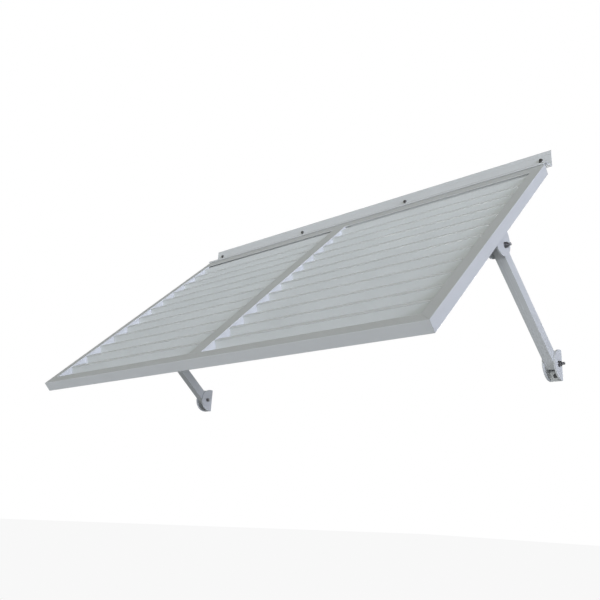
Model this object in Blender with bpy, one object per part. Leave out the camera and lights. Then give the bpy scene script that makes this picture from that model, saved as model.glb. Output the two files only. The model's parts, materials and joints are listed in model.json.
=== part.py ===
"""Louvred awning shutter: a top-hinged aluminium panel of fixed slats, held off a wall by two struts.

Lengths are metres. The wall is the plane Y = 0, the shutter stands out of it towards -Y, and Z is up.
The origin is the centre of the wall header's back face. Three frames carry the pieces:
the wall itself, the panel (hung on its hinge axis, tilted down) and each strut (hung on its clevis pivot).
In the panel frame -Y runs down the slope and +Z points out of the weather face.
"""

import math

import bmesh
import bpy
from mathutils import Matrix, Vector

# Gap between pieces that touch, and the number of flats on a round outline.
GAP = 0.0003
MITRE_GAP = 0.0002
ROUND_STEPS = 24
SMOOTH_ANGLE = math.radians(35.0)

# Panel
PANEL_WIDTH = 1.500
PANEL_LENGTH = 0.925
PANEL_DEPTH = 0.032
PANEL_TILT = math.radians(44.45)
FRAME_WALL = 0.002
FRAME_CHAMFER = 0.0008
FRAME_INNER_CHAMFER = 0.0002
STILE_FACE = 0.035
BOTTOM_FACE = 0.035
TOP_FACE = 0.042
MULLION_FACE = 0.055

# Hinge: a bead on the panel's top rail turns in a C-shaped socket on the wall header
HINGE_OUT = 0.0455
HINGE_DROP = 0.0385
BEAD_RADIUS = 0.0042
BEAD_UP_SLOPE = 0.010
NECK_THICKNESS = 0.003
SOCKET_INNER_RADIUS = 0.0046
SOCKET_OUTER_RADIUS = 0.0070
SOCKET_MOUTH_START = math.radians(-20.0)
SOCKET_MOUTH_END = math.radians(253.0)
BEAD_END_SETBACK = 0.004
NECK_SETBACK = 0.0002
ARM_UPPER_JOIN = math.radians(100.0)
ARM_LOWER_JOIN = math.radians(163.0)

# Wall header
HEADER_LENGTH = 1.504
HEADER_HEIGHT = 0.056
HEADER_THICKNESS = 0.0035
HEADER_ARM = 0.003
HEADER_BACK_ROUND = 0.0005
HEADER_SCREW_PLACES = (-0.720, -0.250, 0.230, 0.720)
HEADER_GROOVES = (0.0135, -0.0115)
GROOVE_HALF_WIDTH = 0.0009
GROOVE_DEPTH = 0.0007

# Slats. Each is a strip bent into a narrow land, a tread that falls into the panel and a steep riser.
# The riser ends just under the next slat's land, so the slats close the bay like a row of steps.
SLATS_PER_BAY = 12
SLAT_PITCH = 0.06885
FIRST_SLAT_EDGE = 0.02415
SLAT_THICKNESS = 0.0022
SLAT_END_GAP = 0.0004
LAND_START = 0.0020
LAND_END = 0.0100
LAND_DEPTH = 0.0026
VALLEY_PLACE = 0.0610
VALLEY_DEPTH = 0.0232
RISER_END_DEPTH = 0.0052
RISER_ANGLE = math.radians(59.5)
LOWEST_SLAT_START = 0.0123

# Tenons on the slats' ends: places are measured along the tread from the end of the land
TENON_START = 0.010
TENON_END = 0.044
TENON_REACH = 0.0035
TENON_SKIN = 0.0002

# The slit along the top rail's inner wall, above the highest slat
SLIT_TOP = 0.0024
SLIT_BOTTOM = 0.0062
SLIT_INSET = 0.0020
SLIT_ROOM = 0.0100

# U brackets: one under each stile (clevis) and one on the wall for each strut
BRACKET_WIDTH = 0.036
BRACKET_CHEEK = 0.004
BRACKET_BASE = 0.004
BRACKET_RADIUS = 0.043
BRACKET_STRAIGHT = 0.009
BRACKET_INSET = 0.0075
PIVOT_OFFSET = 0.024
BRACKET_SCREW_OFFSET = 0.028
CLEVIS_DOWN_SLOPE = 0.450
WALL_PIVOT_DROP = 0.642

# Struts
STRUT_WIDTH = 0.027
STRUT_DEPTH = 0.032
STRUT_WALL = 0.002
NOTCH_WIDTH = 0.012
NOTCH_LENGTH = 0.045
NOTCH_LEAN = math.radians(1.5)

# Fasteners
HEADER_SCREW_RADIUS = 0.00275
HEADER_SCREW_COLLAR = 0.0065
HEADER_SCREW_FLATS = 0.010
HEADER_SCREW_HEAD = 0.0045
BRACKET_SCREW_RADIUS = 0.003
BRACKET_SCREW_COLLAR = 0.0065
BRACKET_SCREW_FLATS = 0.010
BRACKET_SCREW_HEAD = 0.0035
CLEVIS_SCREW_LENGTH = 0.012
SCREW_COLLAR_HEIGHT = 0.0012
PIVOT_BOLT_RADIUS = 0.004
PIVOT_HOLE_RADIUS = 0.0043
PIVOT_HEAD_FLATS = 0.013
PIVOT_HEAD_HEIGHT = 0.0053
BOLT_PROJECTION = 0.0165
NUT_HEIGHT = 0.0075
NUT_FLANGE_RADIUS = 0.0082
NUT_FLANGE_HEIGHT = 0.0016
CHAMFER = 0.0008

# Corner keys, pressed into the hollow frame members
KEY_ARM_LENGTH = 0.075

# How far a cutting shape runs past what it cuts
CUTTER_REACH = 0.02

# Worked out from the sizes above
HALF_PANEL = PANEL_WIDTH / 2
WEATHER_FACE = NECK_THICKNESS / 2
UNDERSIDE = WEATHER_FACE - PANEL_DEPTH
PANEL_TOP = BEAD_UP_SLOPE
PANEL_BOTTOM = PANEL_TOP + PANEL_LENGTH
BRACKET_CENTRE = HALF_PANEL - BRACKET_INSET - BRACKET_WIDTH / 2
BRACKET_SCREW_PLACES = (-BRACKET_SCREW_OFFSET, BRACKET_SCREW_OFFSET)
CLEVIS_PLACE = PANEL_TOP + CLEVIS_DOWN_SLOPE
CLEVIS_PIVOT_LEVEL = UNDERSIDE - GAP - PIVOT_OFFSET
BAY_START = MULLION_FACE / 2
BAY_END = HALF_PANEL - STILE_FACE
TREAD_ANGLE = math.atan2(VALLEY_DEPTH - LAND_DEPTH, VALLEY_PLACE - LAND_END)
SIDES = (("left", -1), ("right", 1))


# ---------------------------------------------------------------- scene and materials


def clear_scene():
    for obj in list(bpy.data.objects):
        bpy.data.objects.remove(obj, do_unlink=True)


def make_material(name, colour, roughness, metallic):
    material = bpy.data.materials.new(name)
    material.use_nodes = True
    material.diffuse_color = (*colour, 1.0)
    shader = material.node_tree.nodes["Principled BSDF"]
    shader.inputs["Base Color"].default_value = (*colour, 1.0)
    shader.inputs["Roughness"].default_value = roughness
    shader.inputs["Metallic"].default_value = metallic
    return material


def add_frame(name, parent=None, location=(0, 0, 0), turn=0.0):
    """A frame that pieces hang on. Its X axis is the joint's axis, and turn rotates it about that axis."""
    frame = bpy.data.objects.new(name, None)
    frame.location = location
    frame.rotation_euler = (turn, 0, 0)
    frame.parent = parent
    bpy.context.collection.objects.link(frame)
    return frame


def add_piece(name, mesh, parent, location=(0, 0, 0), turn=0.0):
    piece = bpy.data.objects.new(name, mesh)
    piece.location = location
    piece.rotation_euler = (turn, 0, 0)
    piece.parent = parent
    bpy.context.collection.objects.link(piece)
    return piece


def finish_piece(piece, material):
    """Gives the piece its material and shades its round faces smooth."""
    mesh = piece.data
    mesh.materials.clear()
    mesh.materials.append(material)
    mesh.shade_smooth()
    mesh.set_sharp_from_angle(angle=SMOOTH_ANGLE)


def combine(piece, other_mesh, operation):
    """Joins another shape to the piece, or cuts it out. The other shape lies in the piece's own frame."""
    other = add_piece(piece.name + "_tool", other_mesh, piece)
    modifier = piece.modifiers.new("boolean", "BOOLEAN")
    modifier.operation = operation
    modifier.solver = "EXACT"
    modifier.object = other
    bpy.context.view_layer.update()
    graph = bpy.context.evaluated_depsgraph_get()
    combined = bpy.data.meshes.new_from_object(piece.evaluated_get(graph))
    piece.modifiers.clear()
    piece.data = combined
    bpy.data.objects.remove(other, do_unlink=True)


# ---------------------------------------------------------------- outlines (lists of 2-D points)


def arc(centre, radius, start, end, steps):
    """Points on an arc, both ends included."""
    points = []
    for step in range(steps + 1):
        angle = start + (end - start) * step / steps
        points.append((centre[0] + radius * math.cos(angle), centre[1] + radius * math.sin(angle)))
    return points


def circle(radius):
    return arc((0, 0), radius, 0, 2 * math.pi, ROUND_STEPS)[:-1]


def hexagon(across_flats):
    """A hexagon with as many points as a circle, so that the two can be joined point to point."""
    points = []
    for step in range(ROUND_STEPS):
        angle = 2 * math.pi * step / ROUND_STEPS
        from_flat = (angle % (math.pi / 3)) - math.pi / 6
        radius = across_flats / 2 / math.cos(from_flat)
        points.append((radius * math.cos(angle), radius * math.sin(angle)))
    return points


def rectangle(u0, v0, u1, v1):
    return [(u0, v0), (u1, v0), (u1, v1), (u0, v1)]


def chamfered_rectangle(u0, v0, u1, v1, chamfer):
    return [
        (u0 + chamfer, v0),
        (u1 - chamfer, v0),
        (u1, v0 + chamfer),
        (u1, v1 - chamfer),
        (u1 - chamfer, v1),
        (u0 + chamfer, v1),
        (u0, v1 - chamfer),
        (u0, v0 + chamfer),
    ]


def stadium(length, radius, steps=16):
    """A slot shape, round about the origin and about the point u = length."""
    far_end = arc((length, 0), radius, -math.pi / 2, math.pi / 2, steps)
    near_end = arc((0, 0), radius, math.pi / 2, 3 * math.pi / 2, steps)
    return far_end + near_end


def turned(outline, angle, shift=(0, 0)):
    """The outline turned about the origin, then shifted."""
    cosine = math.cos(angle)
    sine = math.sin(angle)
    return [(u * cosine - v * sine + shift[0], u * sine + v * cosine + shift[1]) for u, v in outline]


def out_from_wall(outline):
    """Turns an outline drawn out from the wall into one in the wall frame, where out is -Y."""
    return [(-u, v) for u, v in outline]


def side_normals(path):
    """For each run of the path, the unit normal on its right-hand side."""
    normals = []
    for start, end in zip(path, path[1:]):
        run = Vector(end) - Vector(start)
        normals.append(Vector((run.y, -run.x)).normalized())
    return normals


def bent_strip(path, thickness):
    """A strip of even thickness below the path, mitred at its bends and cut square at its ends."""
    normals = side_normals(path)
    before = [normals[0]] + normals
    after = normals + [normals[-1]]
    below = []
    for point, first, second in zip(path, before, after):
        mitre = (first + second) / (1 + first.dot(second))
        below.append(tuple(Vector(point) + mitre * thickness))
    return list(path) + below[::-1]


# ---------------------------------------------------------------- meshes


def place(axis, u, v, w):
    """The point (u, v) of an outline, at level w along the extrusion axis."""
    return {"X": (w, u, v), "Y": (u, w, v), "Z": (u, v, w)}[axis]


def add_loop(shape, outline, axis, level):
    """Level is a number, or a function of the outline's u and v where an end is cut at a slant."""
    points = []
    for u, v in outline:
        w = level(u, v) if callable(level) else level
        points.append(shape.verts.new(place(axis, u, v, w)))
    return points


def bridge(shape, first, second):
    for index in range(len(first)):
        after = (index + 1) % len(first)
        shape.faces.new((first[index], first[after], second[after], second[index]))


def add_solid(shape, axis, levels):
    """A closed body through (outline, level) pairs whose outlines all have the same number of points."""
    loops = [add_loop(shape, outline, axis, level) for outline, level in levels]
    shape.faces.new(loops[0])
    shape.faces.new(loops[-1])
    for first, second in zip(loops, loops[1:]):
        bridge(shape, first, second)


def to_mesh(name, shape):
    bmesh.ops.recalc_face_normals(shape, faces=shape.faces)
    mesh = bpy.data.meshes.new(name)
    shape.to_mesh(mesh)
    shape.free()
    return mesh


def solid(name, axis, levels):
    shape = bmesh.new()
    add_solid(shape, axis, levels)
    return to_mesh(name, shape)


def prism(name, axis, outline, start, end):
    return solid(name, axis, [(outline, start), (outline, end)])


def prisms(name, axis, outlines, start, end):
    """Several separate prisms in one mesh, for cutting several openings at once."""
    shape = bmesh.new()
    for outline in outlines:
        add_solid(shape, axis, [(outline, start), (outline, end)])
    return to_mesh(name, shape)


def bored_solid(name, axis, levels, bore):
    """A closed body through (outline, level) pairs with a straight bore through it."""
    shape = bmesh.new()
    outside = [add_loop(shape, outline, axis, level) for outline, level in levels]
    inside = [add_loop(shape, bore, axis, level) for level in (levels[0][1], levels[-1][1])]
    for first, second in zip(outside, outside[1:]):
        bridge(shape, first, second)
    bridge(shape, inside[0], inside[1])
    bridge(shape, outside[0], inside[0])
    bridge(shape, outside[-1], inside[1])
    return to_mesh(name, shape)


# ---------------------------------------------------------------- wall header


def header_outline():
    """The header's section, u out from the wall and v up: a flange, a sloping arm and the hinge socket."""
    centre = (HINGE_OUT, -HINGE_DROP)
    half = HEADER_HEIGHT / 2
    nose = HEADER_THICKNESS
    outline = [(0, half - HEADER_BACK_ROUND), (0, -half)]
    outline += arc(centre, SOCKET_OUTER_RADIUS, ARM_LOWER_JOIN, SOCKET_MOUTH_END, 8)
    outline += arc(centre, SOCKET_INNER_RADIUS, SOCKET_MOUTH_END, SOCKET_MOUTH_START, 20)
    outline += arc(centre, SOCKET_OUTER_RADIUS, SOCKET_MOUTH_START, ARM_UPPER_JOIN, 10)
    outline.append((nose, HEADER_ARM - half))
    for groove in sorted(HEADER_GROOVES):
        outline.append((nose, groove - GROOVE_HALF_WIDTH))
        outline.append((nose - GROOVE_DEPTH, groove))
        outline.append((nose, groove + GROOVE_HALF_WIDTH))
    round_radius = nose - HEADER_BACK_ROUND
    outline += arc((HEADER_BACK_ROUND, half - round_radius), round_radius, 0, math.pi / 2, 6)
    return outline


def make_header(wall, paint):
    outline = out_from_wall(header_outline())
    mesh = prism("wall_header", "X", outline, -HEADER_LENGTH / 2, HEADER_LENGTH / 2)
    header = add_piece("wall_header", mesh, wall)
    holes = [turned(circle(HEADER_SCREW_RADIUS + GAP), 0, (x, 0)) for x in HEADER_SCREW_PLACES]
    combine(header, prisms("header_holes", "Y", holes, -CUTTER_REACH, CUTTER_REACH), "DIFFERENCE")
    finish_piece(header, paint)


def make_header_screws(wall, steel):
    """Their shanks stop just short of the wall plane, so that the header rests flat."""
    seat = -HEADER_THICKNESS - GAP
    shank = HEADER_THICKNESS
    sizes = (HEADER_SCREW_RADIUS, shank, HEADER_SCREW_COLLAR, HEADER_SCREW_FLATS, HEADER_SCREW_HEAD)
    mesh = screw("header_screw", "Y", 1, sizes)
    for number, x in enumerate(HEADER_SCREW_PLACES, 1):
        finish_piece(add_piece(f"header_screw_{number}", mesh, wall, (x, seat, 0)), steel)


# ---------------------------------------------------------------- fasteners


def screw(name, axis, direction, sizes):
    """A hex screw with a washer collar, seated on the plane 0, its shank in that direction."""
    radius, shank, collar, flats, head = sizes
    levels = [
        (circle(radius - CHAMFER / 2), shank),
        (circle(radius), shank - CHAMFER),
        (circle(radius), 0.0),
        (circle(collar), 0.0),
        (circle(collar), -SCREW_COLLAR_HEIGHT),
        (hexagon(flats), -SCREW_COLLAR_HEIGHT),
        (hexagon(flats), CHAMFER / 2 - head),
        (circle(flats / 2 - CHAMFER / 2), -head),
    ]
    return solid(name, axis, [(outline, level * direction) for outline, level in levels])


def pivot_bolt(side):
    """A hex bolt along X through a bracket at X = 0: head inboard, threaded end outboard."""
    seat = -BRACKET_WIDTH / 2 - GAP
    tip = BRACKET_WIDTH / 2 + BOLT_PROJECTION
    levels = [
        (circle(PIVOT_HEAD_FLATS / 2 - CHAMFER / 2), seat - PIVOT_HEAD_HEIGHT),
        (hexagon(PIVOT_HEAD_FLATS), seat - PIVOT_HEAD_HEIGHT + CHAMFER),
        (hexagon(PIVOT_HEAD_FLATS), seat),
        (circle(PIVOT_BOLT_RADIUS), seat),
        (circle(PIVOT_BOLT_RADIUS), tip - CHAMFER),
        (circle(PIVOT_BOLT_RADIUS - CHAMFER), tip),
    ]
    return solid("pivot_bolt", "X", [(outline, level * side) for outline, level in levels])


def pivot_nut(side):
    """A flanged hex nut, seated on the bracket's outboard cheek."""
    seat = BRACKET_WIDTH / 2 + GAP
    levels = [
        (circle(NUT_FLANGE_RADIUS), seat),
        (circle(NUT_FLANGE_RADIUS), seat + NUT_FLANGE_HEIGHT),
        (hexagon(PIVOT_HEAD_FLATS), seat + NUT_FLANGE_HEIGHT),
        (hexagon(PIVOT_HEAD_FLATS), seat + NUT_HEIGHT - CHAMFER),
        (circle(PIVOT_HEAD_FLATS / 2 - CHAMFER / 2), seat + NUT_HEIGHT),
    ]
    levels = [(outline, level * side) for outline, level in levels]
    return bored_solid("pivot_nut", "X", levels, circle(PIVOT_HOLE_RADIUS))


# ---------------------------------------------------------------- brackets
# In a bracket's own frame its base lies on Z = 0, its D-shaped cheeks stand up +Z and its pivot runs along X.


def bracket_outline():
    """A cheek seen from its side: flat on its base, a short straight, then a half circle."""
    crown = arc((0, BRACKET_STRAIGHT), BRACKET_RADIUS, 0, math.pi, 24)
    return [(-BRACKET_RADIUS, 0), (BRACKET_RADIUS, 0)] + crown


def make_bracket(name, frame, paint):
    block = prism(name, "X", bracket_outline(), -BRACKET_WIDTH / 2, BRACKET_WIDTH / 2)
    bracket = add_piece(name, block, frame)
    inside = BRACKET_WIDTH / 2 - BRACKET_CHEEK
    reach = BRACKET_RADIUS + CUTTER_REACH
    channel = rectangle(-reach, BRACKET_BASE, reach, BRACKET_BASE + 2 * reach)
    combine(bracket, prism("channel", "X", channel, -inside, inside), "DIFFERENCE")
    pivot_hole = turned(circle(PIVOT_HOLE_RADIUS), 0, (0, PIVOT_OFFSET))
    combine(bracket, prism("pivot_hole", "X", pivot_hole, -BRACKET_WIDTH, BRACKET_WIDTH), "DIFFERENCE")
    screw_holes = [turned(circle(BRACKET_SCREW_RADIUS + GAP), 0, (0, y)) for y in BRACKET_SCREW_PLACES]
    combine(bracket, prisms("screw_holes", "Z", screw_holes, -CUTTER_REACH, CUTTER_REACH), "DIFFERENCE")
    finish_piece(bracket, paint)


def make_bracket_screws(prefix, frame, shank, steel):
    """Two screws through the base, heads between the cheeks."""
    sizes = (BRACKET_SCREW_RADIUS, shank, BRACKET_SCREW_COLLAR, BRACKET_SCREW_FLATS, BRACKET_SCREW_HEAD)
    mesh = screw("bracket_screw", "Z", -1, sizes)
    for number, y in enumerate(BRACKET_SCREW_PLACES, 1):
        location = (0, y, BRACKET_BASE + GAP)
        finish_piece(add_piece(f"{prefix}_screw_{number}", mesh, frame, location), steel)


def make_pivot(prefix, frame, side, steel):
    location = (0, 0, PIVOT_OFFSET)
    finish_piece(add_piece(prefix + "_pivot_bolt", pivot_bolt(side), frame, location), steel)
    finish_piece(add_piece(prefix + "_pivot_nut", pivot_nut(side), frame, location), steel)


# ---------------------------------------------------------------- panel frame


def frame_section(start, end):
    """Outer and inner outlines of a hollow member whose face runs from start to end along u."""
    outer = chamfered_rectangle(start, UNDERSIDE, end, WEATHER_FACE, FRAME_CHAMFER)
    low = UNDERSIDE + FRAME_WALL
    high = WEATHER_FACE - FRAME_WALL
    inner = chamfered_rectangle(start + FRAME_WALL, low, end - FRAME_WALL, high, FRAME_INNER_CHAMFER)
    return outer, inner


def hollow_member(name, axis, section, start, end):
    """A hollow member along an axis, open at both ends. Its ends may be slanted for a mitre."""
    outer, inner = section
    shape = bmesh.new()
    outside = [add_loop(shape, outer, axis, level) for level in (start, end)]
    inside = [add_loop(shape, inner, axis, level) for level in (start, end)]
    bridge(shape, outside[0], outside[1])
    bridge(shape, inside[0], inside[1])
    bridge(shape, outside[0], inside[0])
    bridge(shape, outside[1], inside[1])
    return to_mesh(name, shape)


def make_rail(name, panel, outer_edge, inner_edge):
    """A rail across the panel, mitred to the stiles. Edges are places down the slope."""
    face = abs(inner_edge - outer_edge)
    section = frame_section(*sorted((-outer_edge, -inner_edge)))

    def half_length(y, _):
        from_outside = abs(-y - outer_edge)
        return HALF_PANEL - from_outside * STILE_FACE / face - MITRE_GAP

    def left_end(y, z):
        return -half_length(y, z)

    return add_piece(name, hollow_member(name, "X", section, left_end, half_length), panel)


def bead_outline():
    """The hinge bead about the origin, and the neck that carries it down the slope into the rail."""
    half = NECK_THICKNESS / 2 - NECK_SETBACK
    spread = math.asin(half / BEAD_RADIUS)
    root = -(PANEL_TOP + FRAME_WALL / 2)
    bead = arc((0, 0), BEAD_RADIUS, spread - math.pi, math.pi - spread, 20)
    return bead + [(root, half), (root, -half)]


def add_hinge_bead(top_rail):
    half_length = HALF_PANEL - BEAD_END_SETBACK
    combine(top_rail, prism("bead", "X", bead_outline(), -half_length, half_length), "UNION")


def cut_slits(top_rail):
    """A slit through the rail's inner wall along each bay."""
    inner_edge = -(PANEL_TOP + TOP_FACE)
    low = WEATHER_FACE - SLIT_BOTTOM
    high = WEATHER_FACE - SLIT_TOP
    outline = rectangle(inner_edge - FRAME_WALL, low, inner_edge + 2 * FRAME_WALL, high)
    for _, side in SIDES:
        start, end = sorted((side * BAY_START, side * (BAY_END - SLIT_INSET)))
        combine(top_rail, prism("slit", "X", outline, start, end), "DIFFERENCE")


def make_stile(name, panel, side, paint):
    """A side member, mitred to both rails, slotted for the slats' tenons and drilled for the clevis."""
    outer = side * HALF_PANEL
    inner = side * (HALF_PANEL - STILE_FACE)

    def upper_end(x, _):
        return -(PANEL_TOP + abs(outer - x) * TOP_FACE / STILE_FACE + MITRE_GAP)

    def lower_end(x, _):
        return -(PANEL_BOTTOM - abs(outer - x) * BOTTOM_FACE / STILE_FACE - MITRE_GAP)

    section = frame_section(*sorted((inner, outer)))
    stile = add_piece(name, hollow_member(name, "Y", section, lower_end, upper_end), panel)
    inside_wall = sorted((inner - side * FRAME_WALL, inner + side * 2 * FRAME_WALL))
    combine(stile, prisms("slots", "X", tenon_slots(), *inside_wall), "DIFFERENCE")
    centre = side * BRACKET_CENTRE
    hole = circle(BRACKET_SCREW_RADIUS + GAP)
    holes = [turned(hole, 0, (centre, y - CLEVIS_PLACE)) for y in BRACKET_SCREW_PLACES]
    depth = UNDERSIDE + 2 * FRAME_WALL
    combine(stile, prisms("clevis_holes", "Z", holes, UNDERSIDE - FRAME_WALL, depth), "DIFFERENCE")
    finish_piece(stile, paint)


def make_mullion(panel, paint):
    """The centre member. It stands between the rails and is slotted on both sides."""
    half = MULLION_FACE / 2
    start = -(PANEL_BOTTOM - BOTTOM_FACE - GAP)
    end = -(PANEL_TOP + TOP_FACE + GAP)
    mesh = hollow_member("centre_mullion", "Y", frame_section(-half, half), start, end)
    mullion = add_piece("centre_mullion", mesh, panel)
    combine(mullion, prisms("slots", "X", tenon_slots(), -MULLION_FACE, MULLION_FACE), "DIFFERENCE")
    finish_piece(mullion, paint)


def make_corner_key(name, panel, side, outer_edge, inward, rail_width, metal):
    """An L inside a stile and a rail, across their mitre. inward is +1 down the slope, -1 up it."""
    near = FRAME_WALL + GAP
    stile_width = STILE_FACE - TENON_REACH - GAP
    arm = KEY_ARM_LENGTH
    rail_arm = [(near, near), (arm, near), (arm, rail_width)]
    stile_arm = [(stile_width, rail_width), (stile_width, arm), (near, arm)]
    outline = [(side * (HALF_PANEL - x), -(outer_edge + inward * s)) for x, s in rail_arm + stile_arm]
    low = UNDERSIDE + near
    high = WEATHER_FACE - near
    finish_piece(add_piece(name, prism(name, "Z", outline, low, high), panel), metal)


def make_corner_keys(panel, metal):
    """The top keys stand back from the slit in the top rail."""
    top_width = TOP_FACE - SLIT_ROOM
    bottom_width = BOTTOM_FACE - FRAME_WALL - GAP
    for side_name, side in SIDES:
        make_corner_key(f"top_{side_name}_corner_key", panel, side, PANEL_TOP, 1, top_width, metal)
        make_corner_key(f"bottom_{side_name}_corner_key", panel, side, PANEL_BOTTOM, -1, bottom_width, metal)


# ---------------------------------------------------------------- slats
# In a slat's own frame +Y runs up the slope from its nominal lower edge and Z = 0 is the weather face.


def slat_edge(number):
    """Place down the slope of a slat's nominal lower edge. Slat 0 is the lowest."""
    return PANEL_BOTTOM - (FIRST_SLAT_EDGE + SLAT_PITCH * number)


def tread_point(place):
    """The point of a slat's tread at this place up the slope."""
    return (place, -LAND_DEPTH - (place - LAND_END) * math.tan(TREAD_ANGLE))


def riser_point(depth):
    """The point of a slat's riser at this depth below the weather face."""
    return (VALLEY_PLACE + (VALLEY_DEPTH - depth) / math.tan(RISER_ANGLE), -depth)


def lower_end(number):
    """The lowest slat starts on its tread, because the bottom rail takes the place of its land."""
    if number == 0:
        return [tread_point(LOWEST_SLAT_START)]
    return [(LAND_START, -LAND_DEPTH), (LAND_END, -LAND_DEPTH)]


def upper_end(number):
    """The highest slat has a second land and tread, which close the bay up to the top rail."""
    if number < SLATS_PER_BAY - 1:
        return [riser_point(RISER_END_DEPTH)]
    rail_place = slat_edge(number) - (PANEL_TOP + TOP_FACE)
    land_end = (LAND_END + SLAT_PITCH, -LAND_DEPTH)
    end_place, end_level = tread_point(rail_place - SLAT_END_GAP - SLAT_PITCH)
    return [riser_point(LAND_DEPTH), land_end, (end_place + SLAT_PITCH, end_level)]


def slat_outline(number):
    path = lower_end(number) + [tread_point(VALLEY_PLACE)] + upper_end(number)
    return bent_strip(path, SLAT_THICKNESS)


def on_tread(outline, shift=(0, 0)):
    """An outline drawn along the tread from the end of the land, in the slat's own frame."""
    return turned(outline, -TREAD_ANGLE, (LAND_END + shift[0], shift[1] - LAND_DEPTH))


def tenon_slots():
    """The slots' outlines in the panel frame, one for each slat."""
    low = -SLAT_THICKNESS - GAP
    outline = rectangle(TENON_START - SLAT_END_GAP, low, TENON_END + SLAT_END_GAP, GAP)
    places = [(-slat_edge(number), WEATHER_FACE) for number in range(SLATS_PER_BAY)]
    return [on_tread(outline, place) for place in places]


def slat_mesh(number, length):
    """A slat with a tenon on each end."""
    half = length / 2
    piece = add_piece("slat", prism("slat", "X", slat_outline(number), -half, half), None)
    tenon = on_tread(rectangle(TENON_START, TENON_SKIN - SLAT_THICKNESS, TENON_END, -TENON_SKIN))
    reach = half + GAP + TENON_REACH
    combine(piece, prism("tenon", "X", tenon, -reach, reach), "UNION")
    mesh = piece.data
    bpy.data.objects.remove(piece, do_unlink=True)
    return mesh


def make_slats(panel, paint):
    centre = (BAY_START + BAY_END) / 2
    for number in range(SLATS_PER_BAY):
        mesh = slat_mesh(number, BAY_END - BAY_START - 2 * GAP)
        for side_name, side in SIDES:
            name = f"{side_name}_slat_{number + 1:02d}"
            location = (side * centre, -slat_edge(number), WEATHER_FACE)
            finish_piece(add_piece(name, mesh, panel, location), paint)


# ---------------------------------------------------------------- struts


def strut_line():
    """Length of a strut between its pivots, and its direction from the clevis as a turn from world +Y."""
    tilt = Matrix.Rotation(PANEL_TILT, 2)
    clevis_y, clevis_z = tilt @ Vector((-CLEVIS_PLACE, CLEVIS_PIVOT_LEVEL))
    along_y = -PIVOT_OFFSET - (clevis_y - HINGE_OUT)
    along_z = -WALL_PIVOT_DROP - (clevis_z - HINGE_DROP)
    return math.hypot(along_y, along_z), math.atan2(along_z, along_y)


def make_strut(name, frame, length, direction, paint):
    """A rectangular tube with rounded ends, from the clevis pivot at the origin along +Y.

    The foot is notched where the wall pivot bolt passes as the strut swings off it.
    """
    half = STRUT_WIDTH / 2
    strut = add_piece(name, prism(name, "X", stadium(length, STRUT_DEPTH / 2), -half, half), frame)
    hollow_half = STRUT_DEPTH / 2 - STRUT_WALL
    hollow = rectangle(-STRUT_DEPTH, -hollow_half, length + STRUT_DEPTH, hollow_half)
    combine(strut, prism("hollow", "X", hollow, STRUT_WALL - half, half - STRUT_WALL), "DIFFERENCE")
    pivot_hole = circle(PIVOT_HOLE_RADIUS)
    combine(strut, prism("pivot_hole", "X", pivot_hole, -STRUT_WIDTH, STRUT_WIDTH), "DIFFERENCE")
    straight_up = math.pi / 2 - direction
    notch = turned(stadium(NOTCH_LENGTH, NOTCH_WIDTH / 2, 8), straight_up + NOTCH_LEAN, (length, 0))
    combine(strut, prism("notch", "X", notch, -STRUT_WIDTH, STRUT_WIDTH), "DIFFERENCE")
    finish_piece(strut, paint)


# ---------------------------------------------------------------- assembly


def make_wall_pieces(wall, paint, steel):
    make_header(wall, paint)
    make_header_screws(wall, steel)
    for side_name, side in SIDES:
        prefix = f"{side_name}_wall_bracket"
        location = (side * BRACKET_CENTRE, 0, -WALL_PIVOT_DROP)
        frame = add_frame(prefix + "_frame", wall, location, math.pi / 2)
        make_bracket(prefix, frame, paint)
        make_bracket_screws(prefix, frame, BRACKET_BASE, steel)
        make_pivot(prefix, frame, side, steel)


def make_rails(panel, paint):
    top_rail = make_rail("top_rail", panel, PANEL_TOP, PANEL_TOP + TOP_FACE)
    add_hinge_bead(top_rail)
    cut_slits(top_rail)
    bottom_rail = make_rail("bottom_rail", panel, PANEL_BOTTOM, PANEL_BOTTOM - BOTTOM_FACE)
    finish_piece(top_rail, paint)
    finish_piece(bottom_rail, paint)


def make_panel_pieces(panel, paint, metal, steel):
    make_rails(panel, paint)
    make_mullion(panel, paint)
    make_corner_keys(panel, metal)
    make_slats(panel, paint)
    for side_name, side in SIDES:
        make_stile(f"{side_name}_stile", panel, side, paint)
        prefix = f"{side_name}_clevis"
        location = (side * BRACKET_CENTRE, -CLEVIS_PLACE, UNDERSIDE - GAP)
        frame = add_frame(prefix + "_frame", panel, location, math.pi)
        make_bracket(prefix, frame, paint)
        make_bracket_screws(prefix, frame, CLEVIS_SCREW_LENGTH, steel)
        make_pivot(prefix, frame, side, steel)


def make_strut_pieces(panel, paint):
    length, direction = strut_line()
    for side_name, side in SIDES:
        location = (side * BRACKET_CENTRE, -CLEVIS_PLACE, CLEVIS_PIVOT_LEVEL)
        frame = add_frame(f"{side_name}_strut_pivot", panel, location, direction - PANEL_TILT)
        make_strut(f"{side_name}_strut", frame, length, direction, paint)


def main():
    clear_scene()
    paint = make_material("light_grey_powder_coat", (0.50, 0.52, 0.53), 0.45, 0.0)
    metal = make_material("mill_aluminium", (0.62, 0.63, 0.64), 0.35, 1.0)
    steel = make_material("dark_plated_steel", (0.10, 0.10, 0.11), 0.38, 1.0)
    wall = add_frame("wall")
    panel = add_frame("panel_hinge", wall, (0, -HINGE_OUT, -HINGE_DROP), PANEL_TILT)
    make_wall_pieces(wall, paint, steel)
    make_panel_pieces(panel, paint, metal, steel)
    make_strut_pieces(panel, paint)


main()
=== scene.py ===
import json
import math
from typing import NamedTuple

import bmesh
import bpy
from mathutils import Matrix, Vector

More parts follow.
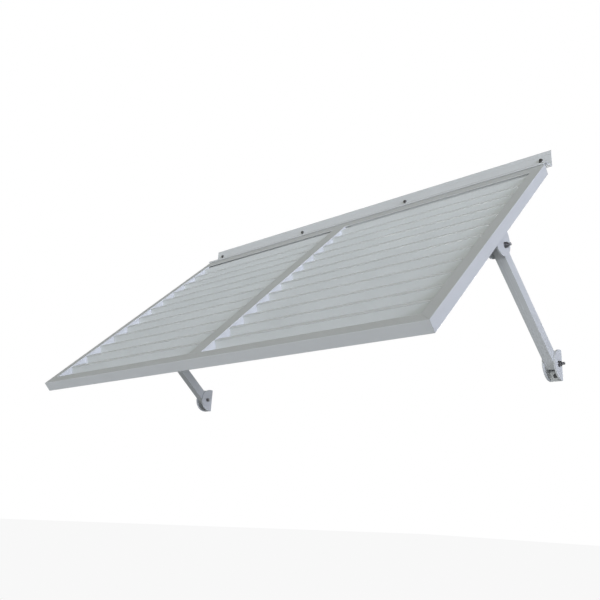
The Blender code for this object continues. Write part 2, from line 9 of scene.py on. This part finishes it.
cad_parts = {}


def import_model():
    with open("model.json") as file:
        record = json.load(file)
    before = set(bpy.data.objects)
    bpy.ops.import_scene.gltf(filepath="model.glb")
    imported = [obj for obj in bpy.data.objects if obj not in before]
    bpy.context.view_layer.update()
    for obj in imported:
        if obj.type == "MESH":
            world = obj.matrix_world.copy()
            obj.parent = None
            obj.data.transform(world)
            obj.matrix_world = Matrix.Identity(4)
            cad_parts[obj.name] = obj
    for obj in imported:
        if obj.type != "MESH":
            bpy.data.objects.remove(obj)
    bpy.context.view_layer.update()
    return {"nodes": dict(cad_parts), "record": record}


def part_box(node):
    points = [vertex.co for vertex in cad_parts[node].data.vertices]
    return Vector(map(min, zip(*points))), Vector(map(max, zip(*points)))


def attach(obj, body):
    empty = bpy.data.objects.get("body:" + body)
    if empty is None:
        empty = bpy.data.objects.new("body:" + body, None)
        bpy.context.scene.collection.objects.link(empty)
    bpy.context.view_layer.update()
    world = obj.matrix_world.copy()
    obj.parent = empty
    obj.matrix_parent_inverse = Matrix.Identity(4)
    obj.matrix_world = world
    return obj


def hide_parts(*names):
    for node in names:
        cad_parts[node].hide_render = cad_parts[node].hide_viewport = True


# The looks of a louvred awning shutter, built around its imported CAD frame. Lengths are metres.
# Every visible piece is a finer copy of its CAD node, or a fastener built anew where its node lies.

# Panel slope, and the axes that the pieces lie along
PANEL_TILT = math.radians(44.45)
ACROSS = Vector((1, 0, 0))
OUT_FROM_WALL = Vector((0, -1, 0))
OUT_OF_UNDERSIDE = Vector((0, math.sin(PANEL_TILT), -math.cos(PANEL_TILT)))
SEEN_FROM_SIDE = Vector((0, 1, 1))

# Refining the CAD nodes
WELD_DISTANCE = 1e-6
FLAT_ANGLE = math.radians(0.5)
EDGE_ANGLE = math.radians(19.0)
SHARP_ANGLE = math.radians(32.0)
EDGE_SEGMENTS = 3
FACE_WEIGHT = 100
FRAME_EDGE = 0.00035
SLAT_EDGE = 0.00055
BRACKET_EDGE = 0.0006
STRUT_EDGE = 0.0007
KEY_EDGE = 0.0005

# Grooves along the struts
GROOVE_PLACES = (-0.0065, 0.0, 0.0065)
GROOVE_HALF_WIDTH = 0.0008
GROOVE_DEPTH = 0.0005
STRUT_DEPTH = 0.032


class Screw(NamedTuple):
    """Radius of the shank, distance across the head's flats, and height of the head with its collar."""

    shank: float
    flats: float
    head: float


# Fasteners
HEADER_SCREW = Screw(shank=0.00275, flats=0.010, head=0.0045)
BRACKET_SCREW = Screw(shank=0.0030, flats=0.010, head=0.0035)
ROUND_STEPS = 48
SMALL_EDGE = 0.0003
HEX_SIDE_ANGLE = math.radians(60.0)
HEAD_CHAMFER_ANGLE = math.radians(30.0)
CHAMFER_SHARE = 0.95
DISH_SHARE = 0.55
DISH_DEPTH = 0.00025
COLLAR_HEIGHT = 0.0012
PIVOT_FLATS = 0.013
PIVOT_SHANK_RADIUS = 0.004
PIVOT_HEAD_HEIGHT = 0.0053
NUT_FLANGE_HEIGHT = 0.0016
NUT_BORE_RADIUS = 0.00405
THREAD_PITCH = 0.00125
THREAD_DEPTH = 0.00055
THREAD_LENGTH = 0.026
RINGS_PER_TURN = 8


class Sun(NamedTuple):
    """A soft light from far away that shines along its direction."""

    direction: Vector
    strength: float
    colour: tuple


# Light, camera and floor
SUNS = {
    "side_light": Sun(Vector((-0.95, 0.28, 0.04)), strength=5.5, colour=(0.80, 0.83, 1.0)),
    "front_light": Sun(Vector((-0.25, 0.95, 0.03)), strength=2.0, colour=(0.98, 1.0, 0.99)),
    "back_light": Sun(Vector((0.35, -0.90, -0.15)), strength=1.7, colour=(1.0, 1.0, 1.0)),
}
SUN_WIDTH = math.radians(26.0)
AMBIENT_STRENGTH = 0.24
AMBIENT_COLOUR = (1.0, 1.0, 0.90, 1.0)
BACKDROP_COLOUR = (1.0, 1.0, 1.0, 1.0)
CAMERA_PLACE = Vector((1.419, -1.836, -1.0775))
CAMERA_RIGHT = Vector((0.7510, 0.6580, 0.0540))
CAMERA_UP = Vector((0.1630, -0.2640, 0.9510))
SENSOR_WIDTH = 36.0
LENS = 40.45
FLOOR_LEVEL = -1.9
FLOOR_SIZE = 60.0
FLOOR_CENTRE_BACK = 20.0


# ---------------------------------------------------------------- what the materials are made of

# Most of a noise's values lie in the first range. The narrower ones give patches with firmer borders.
SOFT_BORDERS = (0.30, 0.70)
FIRM_BORDERS = (0.35, 0.65)
BROKEN_BORDERS = (0.42, 0.62)
NONE_TO_ALL = (0.0, 1.0)


class Patches(NamedTuple):
    """Noise whose values in one range are spread over another. The scale is its waves per metre."""

    scale: float
    detail: float
    borders: tuple = SOFT_BORDERS
    spread: tuple = NONE_TO_ALL


class Relief(NamedTuple):
    """Noise used as a bump. A stretch multiplies its waves per metre along X, Y and Z."""

    scale: float
    detail: float
    strength: float
    height: float
    stretch: tuple = None


class Coat(NamedTuple):
    """The two shades of a powder coat's blotches, and the colour laid on its upward faces: dust on the
    frame, a painted highlight on the slats.
    """

    light: tuple
    dark: tuple
    dust_and_highlight: tuple


# Powder coat
FRAME_COAT = Coat(light=(0.465, 0.48, 0.485), dark=(0.445, 0.46, 0.465), dust_and_highlight=(0.43, 0.44, 0.41))
# The slats' upward-face colour is far lighter than their paint: a painted highlight that lifts the shade
# on the lands between the slats.
SLAT_COAT = Coat(light=(0.465, 0.485, 0.485), dark=(0.445, 0.465, 0.465), dust_and_highlight=(0.74, 0.75, 0.74))
# Powder coat edges turn lighter: wear, and a painted edge highlight.
COAT_WEAR_AND_HIGHLIGHT = (0.56, 0.57, 0.58)
COAT_WEAR_AND_HIGHLIGHT_POINTINESS = (0.60, 0.80)
COAT_BLOTCHES = Patches(scale=7.0, detail=5.0, borders=FIRM_BORDERS)
COAT_DUST_AND_HIGHLIGHT = Patches(scale=16.0, detail=6.0, spread=(0.48, 0.66))
COAT_ROUGHNESS = Patches(scale=24.0, detail=4.0, spread=(0.42, 0.50))
COAT_SPECULAR = 0.45
ORANGE_PEEL = Relief(scale=650.0, detail=2.0, strength=0.22, height=0.0004)
SPECKLE = Relief(scale=2600.0, detail=1.0, strength=0.10, height=0.0001)

# Dark steel
STEEL_LIGHT = (0.15, 0.15, 0.155)
STEEL_DARK = (0.095, 0.093, 0.09)
STEEL_WEAR = (0.60, 0.60, 0.61)
STEEL_BLOTCHES = Patches(scale=180.0, detail=4.0, borders=FIRM_BORDERS)
STEEL_ROUGHNESS = Patches(scale=260.0, detail=3.0, spread=(0.28, 0.44))
TURNING_MARKS = Relief(
    scale=1.0, detail=2.0, strength=0.18, height=0.0001, stretch=(900.0, 4000.0, 4000.0)
)

# Bare aluminium
ALUMINIUM_LIGHT = (0.62, 0.63, 0.64)
ALUMINIUM_DARK = (0.50, 0.51, 0.52)
ALUMINIUM_WEAR = (0.75, 0.75, 0.76)
ALUMINIUM_BLOTCHES = Patches(scale=60.0, detail=5.0)
ALUMINIUM_ROUGHNESS = Patches(scale=120.0, detail=4.0, spread=(0.32, 0.50))
CASTING_GRAIN = Relief(
    scale=1.0, detail=3.0, strength=0.20, height=0.0002, stretch=(90.0, 2500.0, 2500.0)
)

# Edge wear and painted edge highlight; dust and painted highlight on upward faces
METAL_WEAR_POINTINESS = (0.52, 0.60)
WEAR_PATCHES = Patches(scale=90.0, detail=3.0, borders=BROKEN_BORDERS)
UPWARD_SLOPE = (0.35, 0.95)

# Floor
FLOOR_LIGHT = (0.50, 0.50, 0.50)
FLOOR_DARK = (0.47, 0.47, 0.47)
FLOOR_NOISE_SCALE = 3.0
FLOOR_NOISE_DETAIL = 3.0
FLOOR_ROUGHNESS = Patches(scale=8.0, detail=3.0, spread=(0.85, 0.95))
FLOOR_GRAIN = Relief(scale=40.0, detail=2.0, strength=0.02, height=0.001)
FLOOR_GLOW = (0.88, 0.92, 1.0, 1.0)
FLOOR_GLOW_STRENGTH = 0.26
FLOOR_SEEN = (0.94, 0.94, 0.94, 1.0)

# Places of the two shaders among a Mix Shader's inputs
FIRST_SHADER = 1
SECOND_SHADER = 2


# ---------------------------------------------------------------- materials


class Nodes:
    """Short names for the nodes of one material."""

    def __init__(self, name):
        self.material = bpy.data.materials.new(name)
        self.material.use_nodes = True
        self.tree = self.material.node_tree
        self.shader = self.tree.nodes["Principled BSDF"]
        self.coordinates = self.tree.nodes.new("ShaderNodeTexCoord").outputs["Object"]

    def link(self, source, target):
        self.tree.links.new(source, target)

    def stretched(self, scale):
        mapping = self.tree.nodes.new("ShaderNodeMapping")
        mapping.inputs["Scale"].default_value = scale
        self.link(self.coordinates, mapping.inputs["Vector"])
        return mapping.outputs["Vector"]

    def noise(self, scale, detail, stretch=None):
        noise = self.tree.nodes.new("ShaderNodeTexNoise")
        noise.inputs["Scale"].default_value = scale
        noise.inputs["Detail"].default_value = detail
        vector = self.stretched(stretch) if stretch else self.coordinates
        self.link(vector, noise.inputs["Vector"])
        return noise.outputs["Fac"]

    def ranged(self, value, source, target):
        """The value, with the source range spread over the target range."""
        node = self.tree.nodes.new("ShaderNodeMapRange")
        for socket, number in zip(("From Min", "From Max", "To Min", "To Max"), source + target):
            node.inputs[socket].default_value = number
        self.link(value, node.inputs["Value"])
        return node.outputs["Result"]

    def patches(self, kind):
        return self.ranged(self.noise(kind.scale, kind.detail), kind.borders, kind.spread)

    def product(self, first, second):
        node = self.tree.nodes.new("ShaderNodeMath")
        node.operation = "MULTIPLY"
        self.link(first, node.inputs[0])
        self.link(second, node.inputs[1])
        return node.outputs["Value"]

    def mixed(self, factor, first, second):
        """Each of first and second is a colour or another node's output."""
        node = self.tree.nodes.new("ShaderNodeMixRGB")
        self.link(factor, node.inputs["Fac"])
        for socket, colour in (("Color1", first), ("Color2", second)):
            if isinstance(colour, tuple):
                node.inputs[socket].default_value = (*colour, 1.0)
            else:
                self.link(colour, node.inputs[socket])
        return node.outputs["Color"]

    def bump(self, relief, under=None):
        """The surface's normal with this relief, laid over another normal where one is given."""
        node = self.tree.nodes.new("ShaderNodeBump")
        node.inputs["Strength"].default_value = relief.strength
        node.inputs["Distance"].default_value = relief.height
        self.link(self.noise(relief.scale, relief.detail, relief.stretch), node.inputs["Height"])
        if under:
            self.link(under, node.inputs["Normal"])
        return node.outputs["Normal"]

    def worn_and_highlight_edges(self, pointiness_range):
        """1 on the sharpest edges and 0 on flat faces, broken up by noise."""
        pointiness = self.tree.nodes.new("ShaderNodeNewGeometry").outputs["Pointiness"]
        edge = self.ranged(pointiness, pointiness_range, NONE_TO_ALL)
        return self.product(edge, self.patches(WEAR_PATCHES))

    def upward(self):
        """1 on faces that look up, and 0 on those that are upright or look down."""
        geometry = self.tree.nodes.new("ShaderNodeNewGeometry")
        separate = self.tree.nodes.new("ShaderNodeSeparateXYZ")
        self.link(geometry.outputs["Normal"], separate.inputs["Vector"])
        return self.ranged(separate.outputs["Z"], UPWARD_SLOPE, NONE_TO_ALL)

    def finish(self, colour, roughness, normal):
        self.link(colour, self.shader.inputs["Base Color"])
        self.link(roughness, self.shader.inputs["Roughness"])
        self.link(normal, self.shader.inputs["Normal"])
        return self.material


def powder_coat(name, coat):
    """Satin powder coat: orange peel, faint blotches, dust and a painted highlight on upward faces, and
    thin worn edges with a painted edge highlight.
    """
    nodes = Nodes(name)
    colour = nodes.mixed(nodes.patches(COAT_BLOTCHES), coat.light, coat.dark)
    # Upward faces take the coat's upward colour: dust on the frame, a painted highlight on the slats.
    dust_and_highlight_mask = nodes.product(nodes.upward(), nodes.patches(COAT_DUST_AND_HIGHLIGHT))
    colour = nodes.mixed(dust_and_highlight_mask, colour, coat.dust_and_highlight)
    # Sharp edges turn lighter: wear, and a painted edge highlight.
    colour = nodes.mixed(nodes.worn_and_highlight_edges(COAT_WEAR_AND_HIGHLIGHT_POINTINESS), colour, COAT_WEAR_AND_HIGHLIGHT)
    normal = nodes.bump(SPECKLE, under=nodes.bump(ORANGE_PEEL))
    nodes.shader.inputs["Specular IOR Level"].default_value = COAT_SPECULAR
    return nodes.finish(colour, nodes.patches(COAT_ROUGHNESS), normal)


def dark_steel(name):
    """Dark plated steel with fine turning marks and brighter worn corners."""
    nodes = Nodes(name)
    colour = nodes.mixed(nodes.patches(STEEL_BLOTCHES), STEEL_LIGHT, STEEL_DARK)
    colour = nodes.mixed(nodes.worn_and_highlight_edges(METAL_WEAR_POINTINESS), colour, STEEL_WEAR)
    nodes.shader.inputs["Metallic"].default_value = 1.0
    return nodes.finish(colour, nodes.patches(STEEL_ROUGHNESS), nodes.bump(TURNING_MARKS))


def mill_aluminium(name):
    """Bare cast aluminium with a grain along the frame."""
    nodes = Nodes(name)
    colour = nodes.mixed(nodes.patches(ALUMINIUM_BLOTCHES), ALUMINIUM_LIGHT, ALUMINIUM_DARK)
    colour = nodes.mixed(nodes.worn_and_highlight_edges(METAL_WEAR_POINTINESS), colour, ALUMINIUM_WEAR)
    nodes.shader.inputs["Metallic"].default_value = 1.0
    return nodes.finish(colour, nodes.patches(ALUMINIUM_ROUGHNESS), nodes.bump(CASTING_GRAIN))


def show_to_camera(tree, shown, ordinary, surface):
    """Gives the surface two shaders: the camera sees the shown one, and light meets the ordinary one."""
    chosen = tree.nodes.new("ShaderNodeMixShader")
    path = tree.nodes.new("ShaderNodeLightPath")
    tree.links.new(path.outputs["Is Camera Ray"], chosen.inputs["Fac"])
    tree.links.new(ordinary, chosen.inputs[FIRST_SHADER])
    tree.links.new(shown, chosen.inputs[SECOND_SHADER])
    tree.links.new(chosen.outputs["Shader"], surface)


def pale_floor(name):
    """A floor that looks almost white, but throws little light back up at the object."""
    nodes = Nodes(name)
    blotches = nodes.noise(FLOOR_NOISE_SCALE, FLOOR_NOISE_DETAIL)
    colour = nodes.mixed(blotches, FLOOR_LIGHT, FLOOR_DARK)
    nodes.shader.inputs["Emission Color"].default_value = FLOOR_GLOW
    nodes.shader.inputs["Emission Strength"].default_value = FLOOR_GLOW_STRENGTH
    material = nodes.finish(colour, nodes.patches(FLOOR_ROUGHNESS), nodes.bump(FLOOR_GRAIN))
    seen = nodes.tree.nodes.new("ShaderNodeEmission")
    seen.inputs["Color"].default_value = FLOOR_SEEN
    surface = nodes.tree.nodes["Material Output"].inputs["Surface"]
    show_to_camera(nodes.tree, seen.outputs["Emission"], nodes.shader.outputs["BSDF"], surface)
    return material


# ---------------------------------------------------------------- finer copies of CAD nodes


def add_to_scene(name, data):
    obj = bpy.data.objects.new(name, data)
    bpy.context.scene.collection.objects.link(obj)
    return obj


def new_object(name, shape, material):
    """Turns the finished shape into an object of this material."""
    bmesh.ops.recalc_face_normals(shape, faces=shape.faces)
    mesh = bpy.data.meshes.new(name)
    shape.to_mesh(mesh)
    shape.free()
    mesh.materials.append(material)
    mesh.shade_smooth()
    return add_to_scene(name, mesh)


def cad_shape(node):
    """The node's mesh with its split points joined and its flat faces whole again."""
    shape = bmesh.new()
    shape.from_mesh(node.data)
    bmesh.ops.remove_doubles(shape, verts=shape.verts, dist=WELD_DISTANCE)
    bmesh.ops.dissolve_limit(shape, angle_limit=FLAT_ANGLE, verts=shape.verts, edges=shape.edges)
    return shape


def even_shading(piece):
    """Flat faces stay flat between their rounded edges."""
    weighted = piece.modifiers.new("weighted", "WEIGHTED_NORMAL")
    weighted.weight = FACE_WEIGHT
    weighted.keep_sharp = True


def round_edges(piece, width):
    bevel = piece.modifiers.new("edges", "BEVEL")
    bevel.limit_method = "ANGLE"
    bevel.angle_limit = EDGE_ANGLE
    bevel.width = width
    bevel.segments = EDGE_SEGMENTS
    bevel.use_clamp_overlap = True
    even_shading(piece)


def distance_and_foot(point, start, end):
    """The point's distance from the line between start and end, seen along X, and its foot on it."""
    line = (end - start) * SEEN_FROM_SIDE
    from_start = (point - start) * SEEN_FROM_SIDE
    share = min(max(from_start.dot(line) / line.length_squared, 0.0), 1.0)
    foot = start + line * share
    foot.x = point.x
    return (point - foot).length, foot


def cut_across(shape, place):
    """Cuts every face at this place along X, so that points lie there."""
    everything = shape.verts[:] + shape.edges[:] + shape.faces[:]
    plane = Vector((place, 0, 0))
    bmesh.ops.bisect_plane(shape, geom=everything, plane_co=plane, plane_no=ACROSS)


def cut_grooves(shape, start, end):
    """Sinks shallow V grooves along a strut and round its ends, whose centres are start and end."""
    for place in GROOVE_PLACES:
        for offset in (-GROOVE_HALF_WIDTH, 0.0, GROOVE_HALF_WIDTH):
            cut_across(shape, start.x + place + offset)
        for point in shape.verts:
            if abs(point.co.x - start.x - place) > WELD_DISTANCE:
                continue
            distance, foot = distance_and_foot(point.co, start, end)
            if distance > STRUT_DEPTH / 2 - GROOVE_DEPTH / 2:
                point.co += (foot - point.co).normalized() * GROOVE_DEPTH


# ---------------------------------------------------------------- fasteners
# Each is drawn about the Z axis as rings, then stood along its own axis.


def ring(radius, level):
    """Radius and level are numbers, or functions of the angle."""
    points = []
    for step in range(ROUND_STEPS):
        angle = 2 * math.pi * step / ROUND_STEPS
        r = radius(angle) if callable(radius) else radius
        z = level(angle) if callable(level) else level
        points.append(Vector((r * math.cos(angle), r * math.sin(angle), z)))
    return points


def hex_radius(flats):
    """Distance from the axis to a hexagon's side, as a function of the angle."""

    def radius(angle):
        from_flat = (angle % HEX_SIDE_ANGLE) - HEX_SIDE_ANGLE / 2
        return flats / 2 / math.cos(from_flat)

    return radius


def hex_crown(flats, top):
    """Rings of a hexagon's chamfered end: the curved edge that turning it leaves, then its flat."""
    radius = hex_radius(flats)
    flat_radius = flats / 2 * CHAMFER_SHARE

    def edge(angle):
        return top - (radius(angle) - flat_radius) * math.tan(HEAD_CHAMFER_ANGLE)

    return [ring(radius, edge), ring(flat_radius, top)]


def dish(flats, top):
    """Rings of the shallow dish in the middle of a forged head."""
    radius = flats / 2 * DISH_SHARE
    return [ring(radius, top), ring(radius - DISH_DEPTH, top - DISH_DEPTH)]


def loft(rings, matrix, closed=False):
    """A skin over the rings: capped at both ends, or closed from the last ring back to the first."""
    shape = bmesh.new()
    loops = [[shape.verts.new(matrix @ point) for point in points] for points in rings]
    pairs = list(zip(loops, loops[1:]))
    if closed:
        pairs.append((loops[-1], loops[0]))
    else:
        shape.faces.new(loops[0])
        shape.faces.new(loops[-1])
    for first, second in pairs:
        for index in range(ROUND_STEPS):
            after = (index + 1) % ROUND_STEPS
            shape.faces.new((first[index], first[after], second[after], second[index]))
    return shape


def axis_extent(node, axis):
    """The two ends of a round node's centre line along the axis, and its greatest radius."""
    points = [vertex.co for vertex in node.data.vertices]
    levels = [point.dot(axis) for point in points]
    side = axis.orthogonal().normalized()
    centre = Vector((0, 0, 0))
    for other in (side, axis.cross(side)):
        places = [point.dot(other) for point in points]
        centre += other * ((min(places) + max(places)) / 2)
    radius = max((point - centre - axis * point.dot(axis)).length for point in points)
    return centre + axis * min(levels), centre + axis * max(levels), radius


def standing(place, axis):
    """Stands a shape drawn about Z at this place, with Z along the axis."""
    turn = axis.to_track_quat("Z", "Y").to_matrix().to_4x4()
    return Matrix.Translation(place) @ turn


def screw_shape(node, axis, sizes):
    """A hex screw with a washer collar. The axis points from its tip to its head."""
    tip, top, collar = axis_extent(node, axis)
    seat = top - axis * sizes.head
    length = (seat - tip).length
    rings = [
        ring(sizes.shank - SMALL_EDGE, -length),
        ring(sizes.shank, SMALL_EDGE - length),
        ring(sizes.shank, 0.0),
        ring(collar - SMALL_EDGE, 0.0),
        ring(collar, SMALL_EDGE),
        ring(collar, COLLAR_HEIGHT - 2 * SMALL_EDGE),
        ring(collar - SMALL_EDGE, COLLAR_HEIGHT - SMALL_EDGE),
        ring(hex_radius(sizes.flats), COLLAR_HEIGHT),
    ]
    rings += hex_crown(sizes.flats, sizes.head) + dish(sizes.flats, sizes.head)
    return loft(rings, standing(seat, axis))


def turned_edge(angle):
    """Level of the turned edge of a pivot bolt's head, whose outer flat lies at level 0."""
    flat_radius = PIVOT_FLATS / 2 * CHAMFER_SHARE
    return (hex_radius(PIVOT_FLATS)(angle) - flat_radius) * math.tan(HEAD_CHAMFER_ANGLE)


def thread_rings(start, end):
    """Rings of a helical thread from one level to another."""
    count = round((end - start) / THREAD_PITCH * RINGS_PER_TURN)
    rings = []
    for index in range(count + 1):
        level = start + (end - start) * index / count
        fade = min(1.0, index / RINGS_PER_TURN, (count - index) / RINGS_PER_TURN)

        def radius(angle, level=level, fade=fade):
            wave = 0.5 - 0.5 * math.cos(2 * math.pi * level / THREAD_PITCH - angle)
            return PIVOT_SHANK_RADIUS - THREAD_DEPTH * wave * fade

        rings.append(ring(radius, level))
    return rings


def bolt_shape(node, axis):
    """A pivot bolt. The axis points from its head to its threaded end."""
    head_end, tip, _ = axis_extent(node, axis)
    length = (tip - head_end).length
    rings = [
        ring(PIVOT_FLATS / 2 * CHAMFER_SHARE, 0.0),
        ring(hex_radius(PIVOT_FLATS), turned_edge),
        ring(hex_radius(PIVOT_FLATS), PIVOT_HEAD_HEIGHT - SMALL_EDGE),
        ring(PIVOT_FLATS / 2 - SMALL_EDGE, PIVOT_HEAD_HEIGHT),
        ring(PIVOT_SHANK_RADIUS, PIVOT_HEAD_HEIGHT),
    ]
    rings += thread_rings(length - THREAD_LENGTH, length - 2 * SMALL_EDGE)
    rings.append(ring(PIVOT_SHANK_RADIUS - 3 * SMALL_EDGE, length))
    return loft(rings, standing(head_end, axis))


def nut_shape(node, axis):
    """A flanged nut. The axis points away from its flange."""
    seat, top, flange = axis_extent(node, axis)
    height = (top - seat).length
    rings = [
        ring(NUT_BORE_RADIUS + SMALL_EDGE, 0.0),
        ring(flange - SMALL_EDGE, 0.0),
        ring(flange, SMALL_EDGE),
        ring(flange, NUT_FLANGE_HEIGHT / 2),
        ring(hex_radius(PIVOT_FLATS), NUT_FLANGE_HEIGHT + SMALL_EDGE),
    ]
    rings += hex_crown(PIVOT_FLATS, height)
    rings.append(ring(NUT_BORE_RADIUS + 2 * SMALL_EDGE, height))
    rings.append(ring(NUT_BORE_RADIUS, height - 2 * SMALL_EDGE))
    rings.append(ring(NUT_BORE_RADIUS, SMALL_EDGE))
    return loft(rings, standing(seat, axis), closed=True)


# ---------------------------------------------------------------- pieces


def side_axis(name):
    """Outboard along X for a piece on that side."""
    return -ACROSS if name.startswith("left") else ACROSS


def fastener_shape(name, node):
    if name.startswith("header_screw"):
        return screw_shape(node, OUT_FROM_WALL, HEADER_SCREW)
    if "wall_bracket_screw" in name:
        return screw_shape(node, OUT_FROM_WALL, BRACKET_SCREW)
    if "clevis_screw" in name:
        return screw_shape(node, OUT_OF_UNDERSIDE, BRACKET_SCREW)
    if name.endswith("pivot_bolt"):
        return bolt_shape(node, side_axis(name))
    return nut_shape(node, side_axis(name))


def centre_of(name):
    low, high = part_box(name)
    return (low + high) / 2


def refined_shape(name, node):
    shape = cad_shape(node)
    if name.endswith("strut"):
        clevis = centre_of(name.replace("strut", "clevis_pivot_bolt"))
        foot = centre_of(name.replace("strut", "wall_bracket_pivot_bolt"))
        clevis.x = foot.x = centre_of(name).x
        cut_grooves(shape, clevis, foot)
    return shape


def edge_width(name):
    if "slat" in name:
        return SLAT_EDGE
    if name.endswith("strut"):
        return STRUT_EDGE
    if "bracket" in name or "clevis" in name:
        return BRACKET_EDGE
    if "key" in name:
        return KEY_EDGE
    return FRAME_EDGE


def make_piece(name, node, slot, body, materials):
    if slot == "fastener_steel":
        piece = new_object(name + "_visual", fastener_shape(name, node), materials[slot])
        piece.data.set_sharp_from_angle(angle=SHARP_ANGLE)
        even_shading(piece)
    else:
        piece = new_object(name + "_visual", refined_shape(name, node), materials[slot])
        round_edges(piece, edge_width(name))
    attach(piece, body)
    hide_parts(name)


def make_materials():
    """One material for each of the record's slots."""
    return {
        "frame_paint": powder_coat("frame_powder_coat", FRAME_COAT),
        "slat_paint": powder_coat("slat_powder_coat", SLAT_COAT),
        "key_aluminium": mill_aluminium("mill_aluminium"),
        "fastener_steel": dark_steel("dark_plated_steel"),
    }


def make_pieces(frame, materials):
    slots = {part["node"]: part["material_slot"] for part in frame["record"]["subparts"]}
    for body, names in frame["record"]["behaviour"]["bodies"].items():
        for name in names:
            make_piece(name, frame["nodes"][name], slots[name], body, materials)


# ---------------------------------------------------------------- floor, light and camera


def make_floor():
    shape = bmesh.new()
    half = FLOOR_SIZE / 2
    corners = ((-half, -half), (half, -half), (half, half), (-half, half))
    shape.faces.new([shape.verts.new((x, y + FLOOR_CENTRE_BACK, FLOOR_LEVEL)) for x, y in corners])
    floor = new_object("floor", shape, pale_floor("pale_floor"))


def make_suns():
    for name, light in SUNS.items():
        sun = bpy.data.lights.new(name, "SUN")
        sun.energy = light.strength
        sun.color = light.colour
        sun.angle = SUN_WIDTH
        lamp = add_to_scene(name, sun)
        lamp.rotation_euler = light.direction.to_track_quat("-Z", "Y").to_euler()


def make_world():
    """Soft light from all round, seen by the camera as a plain white backdrop."""
    world = bpy.data.worlds.new("studio")
    bpy.context.scene.world = world
    world.use_nodes = True
    nodes = world.node_tree.nodes
    lighting = nodes["Background"]
    lighting.inputs["Color"].default_value = AMBIENT_COLOUR
    lighting.inputs["Strength"].default_value = AMBIENT_STRENGTH
    backdrop = nodes.new("ShaderNodeBackground")
    backdrop.inputs["Color"].default_value = BACKDROP_COLOUR
    shown = backdrop.outputs["Background"]
    ordinary = lighting.outputs["Background"]
    show_to_camera(world.node_tree, shown, ordinary, nodes["World Output"].inputs["Surface"])


def make_camera():
    lens = bpy.data.cameras.new("camera")
    lens.sensor_width = SENSOR_WIDTH
    lens.lens = LENS
    camera = add_to_scene("camera", lens)
    back = CAMERA_RIGHT.cross(CAMERA_UP).normalized()
    right = CAMERA_RIGHT.normalized()
    turn = Matrix((right, back.cross(right), back)).transposed().to_4x4()
    camera.matrix_world = Matrix.Translation(CAMERA_PLACE) @ turn
    bpy.context.scene.camera = camera


def main():
    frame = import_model()
    make_pieces(frame, make_materials())
    make_floor()
    make_suns()
    make_world()
    make_camera()
    bpy.context.scene.view_settings.view_transform = "Standard"


main()
